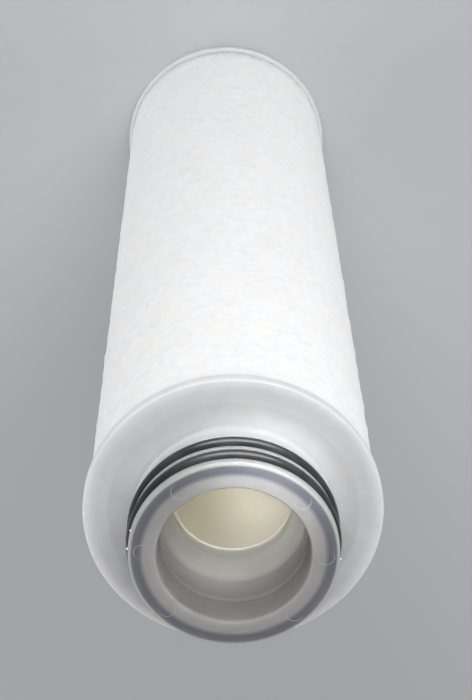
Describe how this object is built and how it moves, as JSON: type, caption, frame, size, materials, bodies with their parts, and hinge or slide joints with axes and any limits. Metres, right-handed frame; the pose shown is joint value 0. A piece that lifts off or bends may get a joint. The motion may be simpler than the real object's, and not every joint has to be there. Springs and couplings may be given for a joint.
{
  "type": "water filter cartridge",
  "caption": "Tubular melt-blown water filter cartridge with a flanged, double O-ring adapter collar and open bore at one end and a flat closed cap at the other.",
  "frame": {"origin": "centre of the closed cap's outer face, on the surface the cartridge stands on", "axes": "+Z along the cartridge's axis towards the adapter collar; X and Y are any two square directions across it"},
  "size_m": [0.065, 0.065, 0.2649],
  "materials": {
    "natural_polypropylene": "translucent, satin as moulded",
    "melt_blown_fibre": "matte fibrous, white outside and cream inside",
    "black_rubber": "satin moulded rubber"
  },
  "bodies": {
    "root": {"adapter_cap": "natural_polypropylene", "closed_cap": "natural_polypropylene", "filter_medium": "melt_blown_fibre", "rear_o_ring": "black_rubber", "front_o_ring": "black_rubber"}
  },
  "joints": []
}
